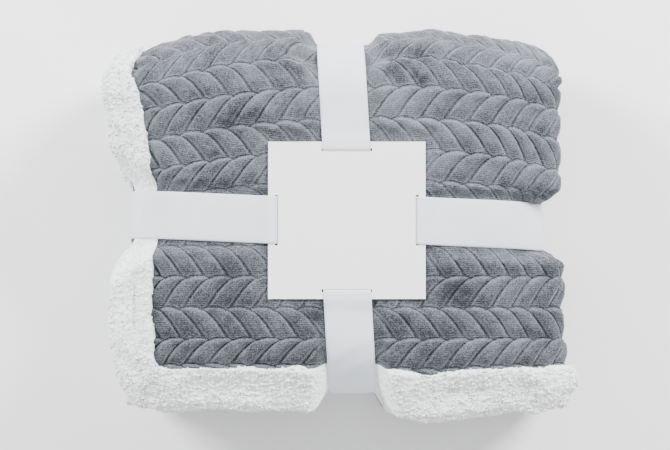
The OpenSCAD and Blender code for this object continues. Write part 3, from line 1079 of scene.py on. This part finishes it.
def ribbon_piece(name, node, band, lap, seed):
    """One satin ribbon: its route carried across its width, with fine wrinkles, and sunk into the plush."""
    along, height = ribbon_route(band, CARD_HIGH[2] + 0.0003, lap)
    across = np.linspace(-1, 1, 27) * band.HALF
    kk, cc = grid(np.arange(len(along)), across)
    a, z = along[kk], height[kk]
    length = np.concatenate([[0], np.cumsum(np.hypot(np.diff(along), np.diff(height)))])[kk]
    bare = ease((np.abs(a - CARD_MID[band.axis]) - CARD_HALF) / 0.012) * (z > HEIGHT * 0.5)
    wrinkle = 0.00035 * wander(length + cc * 0.6, cc * 0.25, 0.009, seed)
    wrinkle += 0.0003 * wander(length, cc, 0.022, seed + 1)
    cup = 0.0006 * (np.abs(cc) / band.HALF) ** 4
    up = np.stack([np.gradient(z, axis=0), -np.gradient(a, axis=0)], axis=-1)
    up /= np.maximum(np.linalg.norm(up, axis=-1, keepdims=True), 1e-9)
    rise = 0.00035 + wrinkle * bare - cup * bare
    a, z = a + up[..., 0] * rise, z + up[..., 1] * rise
    p = np.zeros((*a.shape, 3))
    p[..., band.axis] = a
    p[..., 2] = z
    upper = ease((z - HEIGHT * 0.35) / (HEIGHT * 0.4))
    p[..., band.other] = band.line + cc + band.shift(a) * upper
    obj = add_mesh(name, p, finishes()["satin_ribbon"], np.stack([length, cc], axis=-1))
    thick = obj.modifiers.new("thickness", "SOLIDIFY")
    thick.thickness, thick.offset = 0.00025, 1.0 if band.axis == 0 else -1.0
    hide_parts(node)
    return obj


class THROW_OT_ribbons(bpy.types.Operator):
    """Ties the two satin ribbons round the pack and threads them through the card"""

    bl_idname = "throw.ribbons"
    bl_label = "Ribbons"

    def execute(self, context):
        ribbon_piece("cross_satin_ribbon", "cross_ribbon", CROSS, 0.08, 71)
        ribbon_piece("long_satin_ribbon", "long_ribbon", LONG, 0.08, 75)
        for node in ("cross_ribbon_tape", "long_ribbon_tape"):
            frame["nodes"][node].material_slots[0].material = finishes()["clear_tape"]
        return {"FINISHED"}


class THROW_OT_card(bpy.types.Operator):
    """Gives the slotted card its board"""

    bl_idname = "throw.card"
    bl_label = "Insert Card"

    def execute(self, context):
        obj = frame["nodes"]["insert_card"]
        obj.material_slots[0].material = finishes()["white_card"]
        return {"FINISHED"}


def sewn(name, node, x, v, e):
    """A row of stitches on the skin along the points x, v at the height e: each is a short bent thread
    whose two ends dive into the cloth."""
    pitch, length, radius, sides = 0.004, 0.0032, 0.00028, 6
    run = np.concatenate([[0], np.cumsum(np.hypot(np.diff(x), np.diff(v)))])
    starts = np.arange(0, run[-1] - pitch, pitch)
    share = np.linspace(0, 1, 5)
    at = starts[:, None] + share * length
    dip = 0.0007 * (2 * share - 1) ** 4
    xs, vs, es = (np.interp(at, run, value) for value in (x, v, e))
    mid, _ = placed(skin(xs, vs, es - dip))
    above, _ = placed(skin(xs, vs, es - dip + 0.001))
    up = above - mid
    up /= np.linalg.norm(up, axis=-1, keepdims=True)
    way = np.gradient(mid, axis=1)
    side = np.cross(way, up)
    side /= np.maximum(np.linalg.norm(side, axis=-1, keepdims=True), 1e-12)
    turn = np.linspace(0, 2 * pi, sides, endpoint=False)
    ring = np.cos(turn)[:, None] * side[:, :, None] + np.sin(turn)[:, None] * up[:, :, None]
    points = (mid[:, :, None] + radius * ring).reshape(-1, 3)
    n, i, j = np.meshgrid(np.arange(len(starts)), np.arange(4), np.arange(sides), indexing="ij")
    base = (n * 5 + i) * sides
    k = (j + 1) % sides
    quads = np.stack([base + j, base + sides + j, base + sides + k, base + k], axis=-1).reshape(-1, 4)
    obj = new_object(name, points, quads, finishes()["sewing_thread"])
    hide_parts(node)


class THROW_OT_stitches(bpy.types.Operator):
    """Sews the rows of stitches that hold the upper hem down, along the front, up the side and across
    the corner"""

    bl_idname = "throw.stitches"
    bl_label = "Hem Stitching"

    def execute(self, context):
        sizes = context.scene.throw_sizes
        x, v, inner_x, inner_v = hem_lines(sizes)
        share = 0.86
        px, pv = x + (inner_x - x) * share, v + (inner_v - v) * share
        height = np.full(len(x), hem_profile(share) - 0.0004)
        side = (v > sizes.hem) & (v < TOP_RUN + 0.03)
        front = (x > LEFT + sizes.hem) & (x < TURN_RIGHT)
        sewn("side_stitches", "side_hem_stitching", px[side], pv[side], height[side])
        sewn("front_stitches", "front_hem_stitching", px[front], pv[front], height[front])
        depth = np.linspace(0.15, 0.84, 30)
        sewn("corner_stitches", "corner_stitching", LEFT + sizes.hem * depth, sizes.hem * depth,
             hem_profile(depth) - 0.0004)
        return {"FINISHED"}


class THROW_OT_label(bpy.types.Operator):
    """Folds the blank care label out of the side between two plies"""

    bl_idname = "throw.label"
    bl_label = "Care Label"

    def execute(self, context):
        mid = (LABEL_LOW + LABEL_HIGH) / 2
        wide = LABEL_HIGH[1] - LABEL_LOW[1]
        drop = LABEL_HIGH[2] - LABEL_LOW[2]
        out, gap = 0.0018, 0.0007
        bend = np.linspace(0, pi / 2, 7)
        loop = np.linspace(0, pi, 9)
        x = np.concatenate([[0.008, 0.004], -out * np.sin(bend), np.full(6, -out),
                            -out + gap / 2 - gap / 2 * np.cos(loop), np.full(6, -out + gap),
                            [0.0005, 0.004, 0.008]])
        z = np.concatenate([[0, 0], -out + out * np.cos(bend), -np.linspace(out, drop, 7)[1:],
                            -drop - gap / 2 * np.sin(loop), -np.linspace(drop, out, 7)[1:],
                            np.full(3, -0.0008)])
        y = np.linspace(-wide / 2, wide / 2, 9)
        kk, yy = grid(np.arange(len(x)), y)
        curl = 0.0006 * np.sin(yy / wide * pi * 1.3 + 0.4) * ease(-z[kk] / drop)
        loose = np.stack([LEFT + 0 * yy, mid[1] + yy, LABEL_HIGH[2] + 0 * yy], axis=-1)
        p = settled(loose)
        p[..., 0] += x[kk] - 0.0022 - np.abs(curl)
        p[..., 2] = LABEL_HIGH[2] + z[kk]
        obj = add_mesh("care_label_loop", p, finishes()["label_tape"], np.stack([x[kk], yy], axis=-1))
        thick = obj.modifiers.new("thickness", "SOLIDIFY")
        thick.thickness = 0.0002
        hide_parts("care_label")
        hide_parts("care_label_tab")
        return {"FINISHED"}


class THROW_OT_stage(bpy.types.Operator):
    """Sets the pale floor, the soft lights and the camera almost straight above"""

    bl_idname = "throw.stage"
    bl_label = "Stage"

    def execute(self, context):
        stage = context.scene.throw_stage
        floor = Finish("pale_floor", (0.92, 0.92, 0.92), Roughness=0.9)
        mesh = bpy.data.meshes.new("floor")
        mesh.from_pydata([(-4, -4, 0), (4, -4, 0), (4, 4, 0), (-4, 4, 0)], [], [(0, 1, 2, 3)])
        plane = bpy.data.objects.new("floor", mesh)
        plane.data.materials.append(floor.material)
        context.collection.objects.link(plane)
        world = bpy.data.worlds.new("soft_white")
        world.use_nodes = True
        world.node_tree.nodes["Background"].inputs[0].default_value = (1, 1, 1, 1)
        world.node_tree.nodes["Background"].inputs[1].default_value = 0.8
        context.scene.world = world
        lights = (("key", (1.2, 1.2, 1.0), 0.7, 110), ("second", (-1.4, 0.9, 1.0), 0.7, 80),
                  ("front", (0.2, -1.4, 1.4), 0.9, 15))
        for name, spot, size, power in lights:
            lamp = bpy.data.lights.new(name, "AREA")
            lamp.size, lamp.energy = size, power
            obj = bpy.data.objects.new(name, lamp)
            obj.location = spot
            aim = -np.array(spot) + np.array([0, 0, HEIGHT / 2])
            obj.rotation_mode = "QUATERNION"
            obj.rotation_quaternion = Vector(aim).to_track_quat("-Z", "Y")
            context.collection.objects.link(obj)
        cam = bpy.data.cameras.new("camera")
        cam.sensor_width = 36
        eye = bpy.data.objects.new("camera", cam)
        tilt, far = stage.tilt, stage.distance
        target = np.array([-0.0034, -0.0008, HEIGHT])
        back = np.array([0, -cos(tilt), sin(tilt)])
        eye.location = target + back * far
        eye.rotation_euler = (pi / 2 - tilt, 0, 0)
        cam.lens = cam.sensor_width * far / stage.picture
        context.collection.objects.link(eye)
        context.scene.camera = eye
        return {"FINISHED"}


class THROW_PT_panel(bpy.types.Panel):
    """Lists the steps of the throw"""

    bl_label = "Folded Throw"
    bl_idname = "THROW_PT_panel"
    bl_space_type = "VIEW_3D"
    bl_region_type = "UI"
    bl_category = "Throw"

    def draw(self, context):
        for group in (context.scene.throw_sizes, context.scene.throw_stage):
            for key in group.__annotations__:
                self.layout.prop(group, key)
        for step in STEPS:
            self.layout.operator(step.bl_idname)


STEPS = (THROW_OT_plush, THROW_OT_left_folds, THROW_OT_top_hem, THROW_OT_low_hem, THROW_OT_edges,
         THROW_OT_ribbons, THROW_OT_card, THROW_OT_stitches, THROW_OT_label, THROW_OT_stage)
CLASSES = (ThrowSizes, StageSizes, *STEPS, THROW_PT_panel)


def register():
    for cls in CLASSES:
        bpy.utils.register_class(cls)
    bpy.types.Scene.throw_sizes = PointerProperty(type=ThrowSizes)
    bpy.types.Scene.throw_stage = PointerProperty(type=StageSizes)


def unregister():
    del bpy.types.Scene.throw_stage
    del bpy.types.Scene.throw_sizes
    for cls in reversed(CLASSES):
        bpy.utils.unregister_class(cls)


def main():
    """Registers the add-on and builds every piece."""
    register()
    for step in STEPS:
        if getattr(bpy.ops.throw, step.bl_idname.split(".")[1])() != {"FINISHED"}:
            raise RuntimeError(step.bl_label)


if __name__ == "__main__":
    main()
